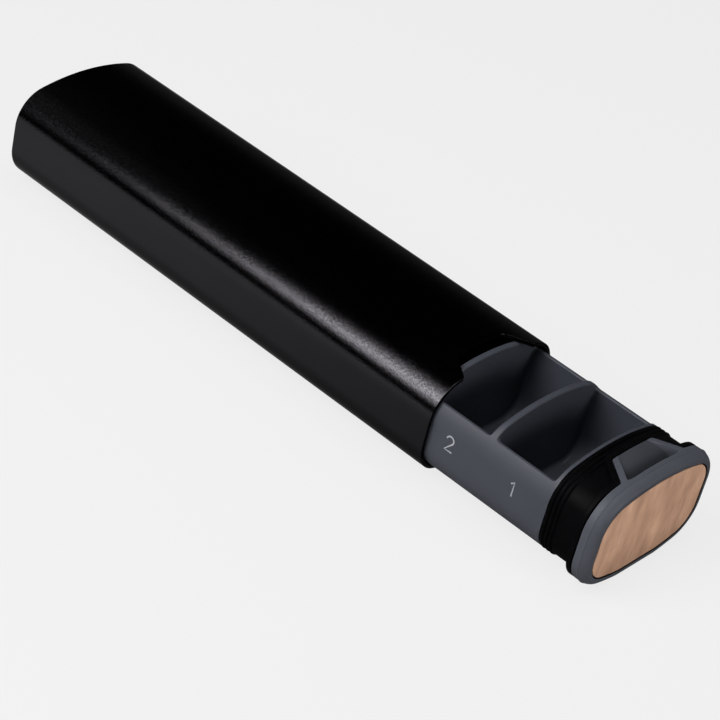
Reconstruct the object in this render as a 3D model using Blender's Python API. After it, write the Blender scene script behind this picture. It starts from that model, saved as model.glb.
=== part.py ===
"""Pocket pill organizer: a metal tube with a seven-compartment tray that slides out of one end.

Everything is in metres, +Z up. +X runs along the tube to its open end. The tray is drawn
partly open, and z = 0 is the flat land that the tube rests on. Every cross-section is one
outline, a box with crowned top and bottom and large round corners, grown or shrunk in
parallel, so that tube, tray, seal and cap nest inside one another by named amounts.
"""
import math

import bmesh
import bpy
from mathutils import Vector

# Outline shared by the tube and everything that lines up with it
body_width = 0.050
body_height = 0.0319
corner_radius = 0.01085
crown_radius = 0.07385
rest_land_width = 0.016

# Tube and the plug in its closed end
tube_length = 0.1642
tube_wall = 0.0011
tube_end_chamfer = 0.00025
plug_thickness = 0.0016
plug_recess = 0.0003
plug_edge_round = 0.0003

# Clearances
seat_gap = 0.0003
sleeve_gap = 0.00025
seal_running_gap = 0.00025
land_gap = 0.0007
tray_running_gap = 0.0004
tray_end_gap = 0.0006
screw_gap = 0.00025
pilot_end_gap = 0.00085
glue_gap = 0.0002

# Tray; its compartments share the length between its rear wall and the seal
compartment_count = 7
divider_thickness = 0.0018
rear_wall_thickness = 0.0016
front_wall_thickness = 0.00105
side_wall_top_thickness = 0.0010
side_wall_drop = 0.0053
floor_thickness = 0.0015
cavity_floor_round = 0.0078
cavity_end_round = 0.0012
shoulder_rise = 0.0008
divider_edge_round = 0.0006
front_wall_edge_round = 0.0004
wall_edge_round = 0.0004
tray_rear_round = 0.0005
tray_opening = 0.0492

# Neck behind the cap, which carries the seal
neck_step = 0.0021
neck_wall = 0.0016
neck_floor_thickness = 0.0019
boss_radius = 0.0029
boss_margin = 0.0115
boss_fuse = 0.0003

# Seal sleeve, from the tray's front wall to the flange that stops at the tube's mouth
seal_length = 0.0103
rib_count = 3
rib_pitch = 0.00135
rib_width = 0.0010
rib_start = 0.00015
flange_thickness = 0.0016
flange_edge_round = 0.0003

# Cap
cap_thickness = 0.00465
cap_front_round = 0.0019
tongue_length = 0.00695
tongue_half_width = 0.0084
tongue_corner_round = 0.0009
tongue_root_round = 0.0012
tongue_flare_deg = 35.0
scoop_depth = 0.0021
scoop_back_depth = 0.00015
scoop_rim = 0.0012
scoop_reach = 0.0007
scoop_corner_round = 0.0012
scoop_floor_round = 0.0005
notch_mouth_round = 0.0012
collar_root_round = 0.0004

# Wooden inlay in the cap's face, glued down over the screws
inlay_margin = 0.0028
inlay_thickness = 0.0016
inlay_recess = 0.0001
inlay_gap = 0.00025
inlay_edge_round = 0.00015
adhesive_thickness = 0.0002
adhesive_margin = 0.0012

# Screws that hold the cap to the tray
screw_radius = 0.0010
screw_length = 0.0078
screw_tip_length = 0.0016
screw_tip_radius = 0.0003
screw_head_radius = 0.0019
screw_head_height = 0.0009
screw_head_round = 0.0003
screw_slot_width = 0.0005
screw_slot_depth = 0.0005

# Overrun of every cutter past what it cuts, and a hair's step past a face it would else share
overrun = 0.004
face_step = 0.00002

# Steps along curves
crown_steps = 6
corner_steps = 7
belly_steps = 4
seam_steps = 3
dome_steps = 4
wall_edge_steps = 2
cavity_floor_steps = crown_steps + dome_steps - wall_edge_steps - 3
edge_steps = 2
fillet_steps = 4
rib_steps = 4
scoop_steps = 6
round_sides = 24
sharp_angle_deg = 46.0

# Outline geometry that follows from the sizes above
corner_arm = body_width / 2 - corner_radius
corner_reach = math.sqrt((crown_radius - corner_radius) ** 2 - corner_arm ** 2)
land_drop = crown_radius - math.sqrt(crown_radius ** 2 - (rest_land_width / 2) ** 2)
crown_centre_z = body_height - crown_radius
belly_centre_z = crown_radius - land_drop
upper_corner_z = crown_centre_z + corner_reach
lower_corner_z = belly_centre_z - corner_reach
axis_z = (upper_corner_z + lower_corner_z) / 2
corner_sweep = math.atan2(corner_reach, corner_arm)

# Places along X, measured from the tube's closed end
flange_rear_x = tube_length + seat_gap + tray_opening
flange_front_x = flange_rear_x + flange_thickness
cap_rear_x = flange_front_x + sleeve_gap
cap_front_x = cap_rear_x + cap_thickness
tongue_back_x = cap_rear_x - tongue_length
inlay_front_x = cap_front_x - inlay_recess
inlay_back_x = inlay_front_x - inlay_thickness
adhesive_front_x = inlay_back_x - glue_gap
adhesive_back_x = adhesive_front_x - adhesive_thickness
pocket_floor_x = adhesive_back_x - glue_gap
screw_head_front_x = pocket_floor_x - screw_gap
screw_head_back_x = screw_head_front_x - screw_head_height
screw_tip_x = screw_head_back_x - screw_length
tray_rear_x = plug_recess + plug_thickness + tray_end_gap + tray_opening
tray_front_x = flange_rear_x - seal_length
neck_floor_x = tray_front_x + neck_floor_thickness
first_cavity_x = tray_rear_x + rear_wall_thickness
front_wall_x = tray_front_x - front_wall_thickness
compartment_pitch = (front_wall_x + divider_thickness - first_cavity_x) / compartment_count
compartment_length = compartment_pitch - divider_thickness
middle_x = cap_front_x / 2

# How far inside the shared outline each piece lies, and widths that follow from that
tray_inset = tube_wall + tray_running_gap
land_inset = tube_wall + land_gap
rib_inset = tube_wall + seal_running_gap
neck_inset = tray_inset + neck_step
boss_offset = body_width / 2 - boss_margin

# Places up the tray's side walls, and where they lie on its round shoulder
side_wall_height = body_height - tray_inset - side_wall_drop
shell_radius = corner_radius - tray_inset
wall_top_angle = math.asin((side_wall_height - upper_corner_z) / shell_radius)
cavity_half_width = corner_arm + shell_radius * math.cos(wall_top_angle) - side_wall_top_thickness
cavity_floor_z = tray_inset + floor_thickness
seam_z = side_wall_height - 3 * wall_edge_round
seam_angle = math.asin((seam_z - upper_corner_z) / shell_radius)
shoulder_z = side_wall_height + shoulder_rise
shoulder_angle = math.asin((shoulder_z - upper_corner_z) / shell_radius)


def blend(start, end, share):
    return start + (end - start) * share


def arc(centre, radius, start, end, steps):
    """Points along an arc in a plane, from one angle to another."""
    angles = [blend(start, end, step / steps) for step in range(steps + 1)]
    return [(centre[0] + radius * math.cos(a), centre[1] + radius * math.sin(a)) for a in angles]


def crown_z(y):
    """Height of the crown at a distance from the middle."""
    return crown_centre_z + math.sqrt(crown_radius ** 2 - y ** 2)


def crown_half(inset):
    """Right half of the crown, from its meeting with the corner up to the middle."""
    return arc((0, crown_centre_z), crown_radius - inset, corner_sweep, math.pi / 2, crown_steps)


def belly_half(inset):
    """Right half of the underside, from the flat land's edge out to the corner."""
    radius = crown_radius - inset
    start = -math.acos(math.sqrt(radius ** 2 - (belly_centre_z - inset) ** 2) / radius)
    return arc((0, belly_centre_z), radius, start, -corner_sweep, belly_steps)


def outline(inset=0.0):
    """The shared outline as (y, z) points, shrunk in parallel by inset."""
    radius = corner_radius - inset
    half = belly_half(inset)
    half += arc((corner_arm, lower_corner_z), radius, -corner_sweep, 0, corner_steps)[1:]
    half += arc((corner_arm, upper_corner_z), radius, 0, corner_sweep, corner_steps)
    half += crown_half(inset)[1:]
    return half + [(-y, z) for y, z in reversed(half[:-1])]


def material(name, colour, roughness, metallic):
    made = bpy.data.materials.new(name)
    made.use_nodes = True
    shader = made.node_tree.nodes["Principled BSDF"]
    shader.inputs["Base Color"].default_value = (*colour, 1.0)
    shader.inputs["Roughness"].default_value = roughness
    shader.inputs["Metallic"].default_value = metallic
    made.diffuse_color = (*colour, 1.0)
    return made


def tidy(mesh):
    """Point every face outwards and shade the round ones smooth."""
    work = bmesh.new()
    work.from_mesh(mesh)
    bmesh.ops.recalc_face_normals(work, faces=work.faces)
    work.to_mesh(mesh)
    work.free()
    mesh.shade_smooth()
    mesh.set_sharp_from_angle(angle=math.radians(sharp_angle_deg))


def make_object(name, verts, faces, centre_y=0.0):
    """A closed object with its origin halfway along it, on the slide axis or off to one side."""
    along = [v[0] for v in verts]
    origin = Vector(((min(along) + max(along)) / 2, centre_y, axis_z))
    mesh = bpy.data.meshes.new(name)
    mesh.from_pydata([Vector(v) - origin for v in verts], [], faces)
    tidy(mesh)
    made = bpy.data.objects.new(name, mesh)
    bpy.context.scene.collection.objects.link(made)
    made.location = origin - Vector((middle_x, 0, 0))
    return made


def loft(stations, closed=False):
    """Skin a row of (x, outline) stations; closed joins last to first, or else the ends are capped."""
    count = len(stations[0][1])
    verts = [(x, y, z) for x, ring in stations for y, z in ring]
    faces = []
    for s in range(len(stations) if closed else len(stations) - 1):
        near = s * count
        far = (s + 1) % len(stations) * count
        for p in range(count):
            q = (p + 1) % count
            faces.append((near + p, near + q, far + q, far + p))
    if not closed:
        faces.append(tuple(range(count)))
        faces.append(tuple(range(len(verts) - count, len(verts))))
    return verts, faces


def turned(profile, centre_y):
    """A solid turned about an axis along X, from (x, radius) points with flat ends."""
    full_turn = 2 * math.pi
    return loft([(x, arc((centre_y, axis_z), r, 0, full_turn, round_sides)[:-1]) for x, r in profile])


def prism(plan, low_z, high_z):
    """A plan outline of (x, y) points stood up between two heights."""
    count = len(plan)
    verts = [(x, y, low_z) for x, y in plan] + [(x, y, high_z) for x, y in plan]
    faces = [tuple(range(count)), tuple(range(count, 2 * count))]
    for p in range(count):
        q = (p + 1) % count
        faces.append((p, q, count + q, count + p))
    return verts, faces


def block(low, high):
    """A plain block between two opposite corners."""
    plan = [(low[0], low[1]), (high[0], low[1]), (high[0], high[1]), (low[0], high[1])]
    return prism(plan, low[2], high[2])


def combine(target, operation, shape):
    """Cut a shape from an object, or join it on, and clear the helper away."""
    helper = make_object("helper", *shape)
    helper.display_type = "WIRE"
    helper.hide_render = True
    step = target.modifiers.new(operation.lower(), "BOOLEAN")
    step.operation = operation
    step.solver = "EXACT"
    step.object = helper
    bpy.context.view_layer.update()
    graph = bpy.context.evaluated_depsgraph_get()
    result = bpy.data.meshes.new_from_object(target.evaluated_get(graph))
    target.modifiers.remove(step)
    spent = [target.data, helper.data]
    target.data = result
    bpy.data.objects.remove(helper)
    for mesh in spent:
        bpy.data.meshes.remove(mesh)
    result.name = target.name
    tidy(result)


def rounded_corner(before, corner, after, radius):
    """An arc that rounds one corner of a plan outline."""
    to_before = (Vector(before) - Vector(corner)).normalized()
    to_after = (Vector(after) - Vector(corner)).normalized()
    half_angle = to_before.angle(to_after) / 2
    centre = Vector(corner) + (to_before + to_after).normalized() * radius / math.sin(half_angle)
    reach = radius / math.tan(half_angle)
    first = Vector(corner) + to_before * reach - centre
    last = Vector(corner) + to_after * reach - centre
    start = math.atan2(first.y, first.x)
    sweep = (math.atan2(last.y, last.x) - start + math.pi) % (2 * math.pi) - math.pi
    return arc(centre, radius, start, start + sweep, fillet_steps)


def parting_line(offset, root_round, root_step=0.0):
    """Plan outline of the tongue's edge from one side to the other, moved out in parallel by offset.

    It comes in along the plane behind the cap, runs back along one flaring side of the tongue,
    across its back, and out again. root_step moves only the plane.
    """
    slope = math.tan(math.radians(tongue_flare_deg))
    side_y = tongue_half_width + offset / math.cos(math.radians(tongue_flare_deg))
    back_x = tongue_back_x - offset
    root_x = cap_rear_x - offset + root_step
    back = (back_x, side_y + slope * (back_x - tongue_back_x))
    root = (root_x, side_y + slope * (root_x - tongue_back_x))
    half = [(root_x, body_width)]
    half += rounded_corner((root_x, body_width), root, back, root_round)
    half += rounded_corner(root, back, (back_x, 0), tongue_corner_round + offset)
    return half + [(x, -y) for x, y in reversed(half)]


def behind(line, back_x):
    """The plan area behind a parting line, back to one place along X."""
    return line + [(back_x, line[-1][1]), (back_x, line[0][1])]


def ahead_of(line, front_x):
    """The plan area ahead of a parting line, inside its tongue, out to one place along X."""
    inside = line[1:-1]
    return inside + [(front_x, inside[-1][1]), (front_x, inside[0][1])]


def build_tube():
    """Extruded tube, chamfered at both ends, with a flared thumb notch in the top of its mouth."""
    chamfer = tube_end_chamfer
    tube = make_object("tube", *loft([
        (0, outline(chamfer)),
        (chamfer, outline()),
        (tube_length - chamfer, outline()),
        (tube_length, outline(chamfer)),
        (tube_length, outline(tube_wall - chamfer)),
        (tube_length - chamfer, outline(tube_wall)),
        (chamfer, outline(tube_wall)),
        (0, outline(tube_wall - chamfer)),
    ], closed=True))
    closing = seat_gap + tray_opening
    line = parting_line(sleeve_gap + flange_thickness + seat_gap, notch_mouth_round,
                        seat_gap + face_step)
    plan = [(x - closing, y) for x, y in ahead_of(line, flange_front_x + overrun)]
    combine(tube, "DIFFERENCE", prism(plan, axis_z, body_height + overrun))
    tube.data.materials.append(material("black_anodised_metal", (0.028, 0.028, 0.031), 0.38, 0.7))
    return tube


def build_rear_plug():
    """Flat plug pressed into the tube's closed end, slightly below the rim."""
    inset = tube_wall + seat_gap
    front_x = plug_recess + plug_thickness
    plug = make_object("rear_plug", *loft([
        (plug_recess, outline(inset + plug_edge_round)),
        (plug_recess + plug_edge_round, outline(inset)),
        (front_x - plug_edge_round, outline(inset)),
        (front_x, outline(inset + plug_edge_round)),
    ]))
    plug.data.materials.append(material("black_moulded_plastic", (0.022, 0.022, 0.024), 0.5, 0.0))
    return plug


def tray_shell(shrink=0.0):
    """The tray's outline below its seams, from the right seam round the bottom to the left one."""
    inset = tray_inset + shrink
    radius = corner_radius - inset
    half = belly_half(inset)
    half += arc((corner_arm, lower_corner_z), radius, -corner_sweep, 0, corner_steps)[1:]
    half += arc((corner_arm, upper_corner_z), radius, 0, seam_angle, seam_steps)
    return list(reversed(half)) + [(-y, z) for y, z in half]


def tray_dome(shrink=0.0, shoulder_share=0.0):
    """The tray's outline above its shoulders, from left to right over the crown.

    shoulder_share is how much of the shrink reaches the shoulders; it grows to all of it up the
    corner.
    """
    half = []
    for step in range(dome_steps + 1):
        angle = blend(shoulder_angle, corner_sweep, step / dome_steps)
        radius = shell_radius - shrink * blend(shoulder_share, 1.0, step / dome_steps)
        half.append((corner_arm + radius * math.cos(angle), upper_corner_z + radius * math.sin(angle)))
    half += crown_half(tray_inset + shrink)[1:]
    return [(-y, z) for y, z in half] + list(reversed(half[:-1]))


def tray_ring(shrink=0.0):
    """The tray's whole outline, with a point at each seam and shoulder."""
    return tray_shell(shrink) + tray_dome(shrink, 1.0)


def shell_half_width(z):
    """Half width of the tray's outside at a height above its straight sides."""
    return corner_arm + math.sqrt(shell_radius ** 2 - (z - upper_corner_z) ** 2)


def tray_cavity(shrink=0.0):
    """Walls and floor of a compartment, from left shoulder to right, in as many points as the dome.

    shrink draws the walls and floor in, and lifts the wall tops by their share of it.
    """
    top = side_wall_height + shoulder_rise * shrink / cavity_end_round
    inner = cavity_half_width - shrink
    radius = cavity_floor_round - shrink
    half = [(shell_half_width(top), top)]
    half += arc((inner + wall_edge_round, top - wall_edge_round), wall_edge_round,
                math.pi / 2, math.pi, wall_edge_steps)
    half += arc((inner - radius, cavity_floor_z + cavity_floor_round), radius,
                0, -math.pi / 2, cavity_floor_steps)
    half += [(0, cavity_floor_z + shrink)]
    return [(-y, z) for y, z in half] + list(reversed(half[:-1]))


def rounding(size, steps):
    """(along, inwards) distances of a quarter round that starts at its full shrink."""
    angles = [math.pi / 2 * step / steps for step in range(steps + 1)]
    return [(size * (1 - math.cos(a)), size * (1 - math.sin(a))) for a in angles]


def tray_upper_rows():
    """Rows of the tray's open side from rear to front, as (x, points)."""
    edge = rounding(divider_edge_round, edge_steps)
    fillet = rounding(cavity_end_round, fillet_steps)
    rows = [(tray_rear_x + tray_rear_round, tray_dome())]
    for number in range(compartment_count):
        start = first_cavity_x + number * compartment_pitch
        end = start + compartment_length
        rows += [(start - along, tray_dome(inwards)) for along, inwards in reversed(edge)]
        rows += [(start + along, tray_cavity(inwards)) for along, inwards in fillet]
        rows += [(end - along, tray_cavity(inwards)) for along, inwards in reversed(fillet)]
        if number == compartment_count - 1:
            edge = rounding(front_wall_edge_round, edge_steps)
        rows += [(end + along, tray_dome(inwards)) for along, inwards in edge]
    return rows + [(tray_front_x, tray_dome())]


def build_tray():
    """Moulded tray: round-cornered shell, low side walls, domed dividers and a hollow neck."""
    verts = []
    places = {}
    faces = []

    def row(x, points):
        """Vertex numbers for a row of points, each shared with any equal one made before."""
        numbers = []
        for y, z in points:
            key = tuple(round(value / face_step, 2) for value in (x, y, z))
            if key not in places:
                places[key] = len(verts)
                verts.append((x, y, z))
            numbers.append(places[key])
        return numbers

    def bridge(first, second, looped):
        """Faces between two rows with as many points each, which may share some of them."""
        for p in range(len(first) if looped else len(first) - 1):
            q = (p + 1) % len(first)
            corners = tuple(dict.fromkeys((first[p], first[q], second[q], second[p])))
            if len(corners) > 2:
                faces.append(corners)

    def bridge_rings(rings):
        numbers = [row(x, points) for x, points in rings]
        for first, second in zip(numbers, numbers[1:]):
            bridge(first, second, True)
        return numbers

    back = [(tray_rear_x + inwards, tray_ring(along))
            for along, inwards in rounding(tray_rear_round, edge_steps)]
    back = bridge_rings(list(reversed(back)))
    faces.append(tuple(back[0]))

    neck_x = flange_front_x
    pocket_shrink = neck_step + neck_wall
    front = bridge_rings([
        (tray_front_x, tray_ring()),
        (tray_front_x, tray_ring(neck_step)),
        (neck_x, tray_ring(neck_step)),
        (neck_x, tray_ring(pocket_shrink)),
        (neck_floor_x, tray_ring(pocket_shrink)),
    ])
    faces.append(tuple(front[-1]))

    shell_count = len(tray_shell())
    rear_shell = back[-1][:shell_count]
    front_shell = front[0][:shell_count]
    left, right = tray_shell()[-1], tray_shell()[0]
    upper = [row(x, [left] + points + [right]) for x, points in tray_upper_rows()]
    for first, second in zip(upper, upper[1:]):
        bridge(first, second, False)
    bridge(rear_shell[1:-1], front_shell[1:-1], False)
    left_seam = dict.fromkeys(numbers[0] for numbers in upper)
    right_seam = dict.fromkeys(numbers[-1] for numbers in upper)
    faces.append((*right_seam, front_shell[1], rear_shell[1]))
    faces.append((*left_seam, front_shell[-2], rear_shell[-2]))

    tray = make_object("tray", verts, faces)
    pilot_radius = screw_radius + screw_gap
    for side in (-1, 1):
        boss = [(neck_floor_x - boss_fuse, boss_radius), (neck_x, boss_radius)]
        pilot = [(screw_tip_x - pilot_end_gap, pilot_radius), (neck_x + overrun, pilot_radius)]
        combine(tray, "UNION", turned(boss, side * boss_offset))
        combine(tray, "DIFFERENCE", turned(pilot, side * boss_offset))
    tray.data.materials.append(material("slate_moulded_plastic", (0.155, 0.165, 0.185), 0.45, 0.0))
    return tray


def build_seal_sleeve():
    """Soft sleeve round the neck: three seal ribs, a smooth land, and a flange with a notch collar."""
    start_x = tray_front_x + sleeve_gap
    rings = [(start_x, outline(land_inset))]
    for number in range(rib_count):
        rib_x = start_x + rib_start + number * rib_pitch
        for step in range(rib_steps + 1):
            share = step / rib_steps
            inset = blend(land_inset, rib_inset, math.sin(math.pi * share))
            rings.append((rib_x + rib_width * share, outline(inset)))
    rings.append((flange_front_x - flange_edge_round, outline(land_inset)))
    sleeve = make_object("seal_sleeve", *loft(rings))

    back_x = tongue_back_x - overrun
    flange = make_object("flange", *loft([
        (back_x, outline()),
        (flange_front_x - flange_edge_round, outline()),
        (flange_front_x, outline(flange_edge_round)),
    ]))
    line = parting_line(sleeve_gap + flange_thickness, collar_root_round)
    combine(flange, "DIFFERENCE", prism(behind(line, back_x - overrun), -overrun, body_height + overrun))
    below = block((back_x - overrun, -body_width, -overrun), (flange_rear_x, body_width, axis_z))
    combine(flange, "DIFFERENCE", below)
    offset = flange.location + Vector((middle_x, 0, 0))
    corners = [vertex.co + offset for vertex in flange.data.vertices]
    flange_faces = [tuple(face.vertices) for face in flange.data.polygons]
    bpy.data.objects.remove(flange)
    combine(sleeve, "UNION", (corners, flange_faces))

    core = outline(neck_inset - sleeve_gap)
    combine(sleeve, "DIFFERENCE", loft([(start_x - overrun, core), (flange_front_x + overrun, core)]))
    pocket = parting_line(sleeve_gap, tongue_root_round - sleeve_gap, face_step)
    combine(sleeve, "DIFFERENCE",
            prism(ahead_of(pocket, flange_front_x + overrun), axis_z, body_height + overrun))
    sleeve.data.materials.append(material("black_silicone", (0.018, 0.018, 0.019), 0.55, 0.0))
    return sleeve


def scoop_cutter():
    """Finger scoop: nearly level at the tongue's back edge, deepening to a wall at the front."""
    slope = math.tan(math.radians(tongue_flare_deg))
    rim = scoop_rim / math.cos(math.radians(tongue_flare_deg))
    front_x = cap_rear_x + scoop_reach
    length = front_x - tongue_back_x
    straight = length - scoop_corner_round
    places = [(tongue_back_x - overrun, 0.0)]
    places += [(tongue_back_x + straight * step / scoop_steps, 0.0) for step in range(scoop_steps)]
    places += [(front_x - inwards, along)
               for along, inwards in rounding(scoop_corner_round, fillet_steps)]
    stations = []
    for x, drawn_in in places:
        share = max(0.0, x - tongue_back_x) / length
        depth = scoop_back_depth + (scoop_depth - scoop_back_depth) * math.sin(math.pi / 2 * share)
        half = tongue_half_width - rim + slope * (x - tongue_back_x) - drawn_in
        flat = half - scoop_floor_round
        floor = [crown_z(flat * step / scoop_steps) - depth for step in range(scoop_steps + 1)]
        side = [(flat * step / scoop_steps, floor[step]) for step in range(scoop_steps + 1)]
        side += arc((flat, floor[-1] + scoop_floor_round), scoop_floor_round,
                    -math.pi / 2, 0, edge_steps)[1:]
        side += [(half, body_height + overrun)]
        stations.append((x, side + [(-y, z) for y, z in reversed(side[1:])]))
    return loft(stations)


def build_front_cap():
    """Cap with a rounded front edge, a pocket for the inlay and a flared tongue with a finger scoop."""
    back_x = tongue_back_x - overrun
    rings = [(back_x, outline())]
    rings += [(cap_front_x - inwards, outline(along))
              for along, inwards in rounding(cap_front_round, fillet_steps)]
    pocket = outline(inlay_margin - inlay_gap)
    rings += [(cap_front_x, pocket), (pocket_floor_x, pocket)]
    cap = make_object("front_cap", *loft(rings))
    line = parting_line(0.0, tongue_root_round)
    combine(cap, "DIFFERENCE", prism(behind(line, back_x - overrun), -overrun, body_height + overrun))
    under = [(y, z) for y, z in outline(neck_inset - seat_gap) if z > axis_z]
    under += [(-body_width, -overrun), (body_width, -overrun)]
    combine(cap, "DIFFERENCE", loft([(back_x - overrun, under), (cap_rear_x, under)]))
    combine(cap, "DIFFERENCE", scoop_cutter())
    shank = screw_radius + screw_gap
    head = screw_head_radius + screw_gap
    recess_x = pocket_floor_x - screw_head_height - 2 * screw_gap
    for side in (-1, 1):
        hole = [(cap_rear_x - overrun, shank), (pocket_floor_x + overrun, shank)]
        recess = [(recess_x, head), (pocket_floor_x + overrun, head)]
        combine(cap, "DIFFERENCE", turned(hole, side * boss_offset))
        combine(cap, "DIFFERENCE", turned(recess, side * boss_offset))
    cap.data.materials.append(material("slate_cap_plastic", (0.175, 0.185, 0.205), 0.42, 0.0))
    return cap


def build_wood_inlay():
    """Thin wooden plate that fills the cap's face."""
    inlay = make_object("wood_inlay", *loft([
        (inlay_back_x, outline(inlay_margin)),
        (inlay_front_x - inlay_edge_round, outline(inlay_margin)),
        (inlay_front_x, outline(inlay_margin + inlay_edge_round)),
    ]))
    inlay.data.materials.append(material("light_walnut", (0.53, 0.36, 0.26), 0.55, 0.0))
    return inlay


def build_adhesive():
    """Sheet of adhesive behind the inlay."""
    sheet = outline(inlay_margin + adhesive_margin)
    pad = make_object("inlay_adhesive", *loft([(adhesive_back_x, sheet), (adhesive_front_x, sheet)]))
    pad.data.materials.append(material("clear_adhesive", (0.72, 0.70, 0.62), 0.6, 0.0))
    return pad


def build_screw(name, side, steel):
    """Pan-head screw with a cross recess, hidden behind the inlay."""
    centre_y = side * boss_offset
    screw = make_object(name, *turned([
        (screw_tip_x, screw_tip_radius),
        (screw_tip_x + screw_tip_length, screw_radius),
        (screw_head_back_x, screw_radius),
        (screw_head_back_x, screw_head_radius),
        (screw_head_front_x - screw_head_round, screw_head_radius),
        (screw_head_front_x, screw_head_radius - screw_head_round),
    ], centre_y), centre_y)
    short = screw_slot_width / 2
    long = screw_head_radius - 2 * screw_head_round
    for wide, tall in ((short, long), (long, short)):
        low = (screw_head_front_x - screw_slot_depth, centre_y - wide, axis_z - tall)
        high = (screw_head_front_x + overrun, centre_y + wide, axis_z + tall)
        combine(screw, "DIFFERENCE", block(low, high))
    screw.data.materials.append(steel)
    return screw


def build():
    for old in list(bpy.data.objects):
        bpy.data.objects.remove(old)
    build_tube()
    build_rear_plug()
    steel = material("zinc_steel", (0.55, 0.55, 0.56), 0.35, 1.0)
    sliding = [
        build_tray(),
        build_seal_sleeve(),
        build_front_cap(),
        build_wood_inlay(),
        build_adhesive(),
        build_screw("cap_screw_left", -1, steel),
        build_screw("cap_screw_right", 1, steel),
    ]
    slide = bpy.data.objects.new("slide_axis", None)
    bpy.context.scene.collection.objects.link(slide)
    slide.location = (0, 0, axis_z)
    for piece in sliding:
        piece.parent = slide
        piece.location -= slide.location


build()
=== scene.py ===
import math

import bmesh
import bpy
import numpy as np
from mathutils import Matrix, Vector


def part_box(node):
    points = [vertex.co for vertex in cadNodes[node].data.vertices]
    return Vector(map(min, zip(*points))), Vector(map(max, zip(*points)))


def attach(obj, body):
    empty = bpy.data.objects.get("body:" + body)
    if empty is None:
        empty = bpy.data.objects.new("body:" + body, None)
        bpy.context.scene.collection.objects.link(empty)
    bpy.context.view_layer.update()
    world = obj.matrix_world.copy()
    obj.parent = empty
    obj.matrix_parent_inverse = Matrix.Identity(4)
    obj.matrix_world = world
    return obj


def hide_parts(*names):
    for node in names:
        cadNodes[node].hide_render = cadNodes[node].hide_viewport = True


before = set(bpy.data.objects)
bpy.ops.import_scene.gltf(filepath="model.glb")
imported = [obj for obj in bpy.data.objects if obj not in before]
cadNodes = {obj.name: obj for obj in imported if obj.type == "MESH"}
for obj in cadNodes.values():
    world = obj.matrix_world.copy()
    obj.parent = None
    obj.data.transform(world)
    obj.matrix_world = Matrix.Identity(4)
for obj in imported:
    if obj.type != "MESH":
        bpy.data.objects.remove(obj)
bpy.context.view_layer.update()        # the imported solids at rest, in metres
mm = 0.001

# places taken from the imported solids
tubeLow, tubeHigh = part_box("tube")
trayLow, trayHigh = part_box("tray")
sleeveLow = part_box("seal_sleeve")[0]
capLow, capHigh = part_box("front_cap")
inlayLow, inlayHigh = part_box("wood_inlay")
plugLow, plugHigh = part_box("rear_plug")
bodyWidth = tubeHigh.y - tubeLow.y
bodyHeight = tubeHigh.z - tubeLow.z
mouthX = tubeHigh.x


# camera, lamps and floor

cameraSetup = {
    "place": Vector((319.0, -441.4, 365.05)) * mm,
    "aim": Vector((-0.474896, 0.680440, -0.558100)),
    "up": Vector((-0.513286, 0.300973, 0.803712)),
    "focalPixels": 2351.6,        # focal length in pixels of a square picture
    "pictureSide": 720,
    "sensor": 36.0,
    "nearest": 20 * mm,        # nothing closer than this is drawn
}

# place, aim point, width, height, watts, and how the lamp fades in from each of its four rims:
# the share of its size that this takes, the power, and what is left at the rim
evenFade = ((0.5, 1, 0),) * 4
lampSetup = {
    "overheadSoftbox": ((0.16, 0.10, 0.95), (0, 0, 0), 0.60, 0.60, 11.0, evenFade),
    "shoulderSoftbox": ((-0.078, -0.401, 0.614), (0.182, 0.014, 0.144), 0.58, 1.115, 30.5,
                        ((0.27, 2.7, 0.26), (0.3, 1, 0), (0.235, 1.3, 0), (0.78, 2.1, 0.2))),
    "frontFill": ((0.92, 0.20, 0.32), (0.08, 0, 0.015), 0.50, 0.50, 16.3, evenFade),
}

roomSetup = {
    "floorHalf": 3.0,
    "tone": 0.850,        # pale grey of floor and background as the camera sees them
    "shadowless": 0.93,        # share of the floor's tone that no shadow darkens
    "floorColour": 0.85,        # what the floor bounces back on the object
    "floorRoughness": 0.9,
    "poolCentre": (-0.20, -0.25, 0),        # gloss meets the floor brightest in a pool round here
    "poolReach": (0.222, 0.419),        # and darker away from it
    "poolGlow": 1.2,
    "contact": (0.022, 0.036, 0.3),        # and darkest beside the object, where its shadow lies
    "roomLight": 0.03,
    # what gloss meets instead of the background:
    # two places on one axis of the direction, and the strength at each
    "glossRise": (0.10, 0.30, 0.17, 0),        # it dims upwards
    "glossTurn": (-0.5, 0.6, 0.10, 1),        # and from the back, +Y, to the front
    "glossFloor": 0.010,        # left of it high up, where the room is dim
    "leftTurn": (-0.66, -0.54, 0.35, 0),        # a dim glow to the left, -X
    "leftRise": (0.14, 0.36, 0, 1),        # above the horizon
    "leftFade": (-0.2, 0.7, 1, 0),        # that fades to the back
}


def addObject(name, data):
    made = bpy.data.objects.new(name, data)
    bpy.context.scene.collection.objects.link(made)
    return made


def addNode(tree, kind, values=None, **settings):
    node = tree.nodes.new(kind)
    for name, value in settings.items():
        setattr(node, name, value)
    for socket, value in (values or {}).items():
        node.inputs[socket].default_value = value
    return node


def wire(tree, fromNode, fromSocket, toNode, toSocket):
    tree.links.new(fromNode.outputs[fromSocket], toNode.inputs[toSocket])


def combine(tree, operation, first, second, kind="ShaderNodeMath"):
    node = addNode(tree, kind, operation=operation)
    wire(tree, first, 0, node, 0)
    wire(tree, second, 0, node, 1)
    return node


def splitVector(tree, source, socket):        # X, Y and Z, each its own output
    parts = addNode(tree, "ShaderNodeSeparateXYZ")
    wire(tree, source, socket, parts, 0)
    return parts


def mapRange(tree, source, socket, fromLow, fromHigh, toLow=0, toHigh=1, **settings):
    values = {"From Min": fromLow, "From Max": fromHigh, "To Min": toLow, "To Max": toHigh}
    node = addNode(tree, "ShaderNodeMapRange", values, **settings)
    wire(tree, source, socket, node, "Value")
    return node


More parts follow.
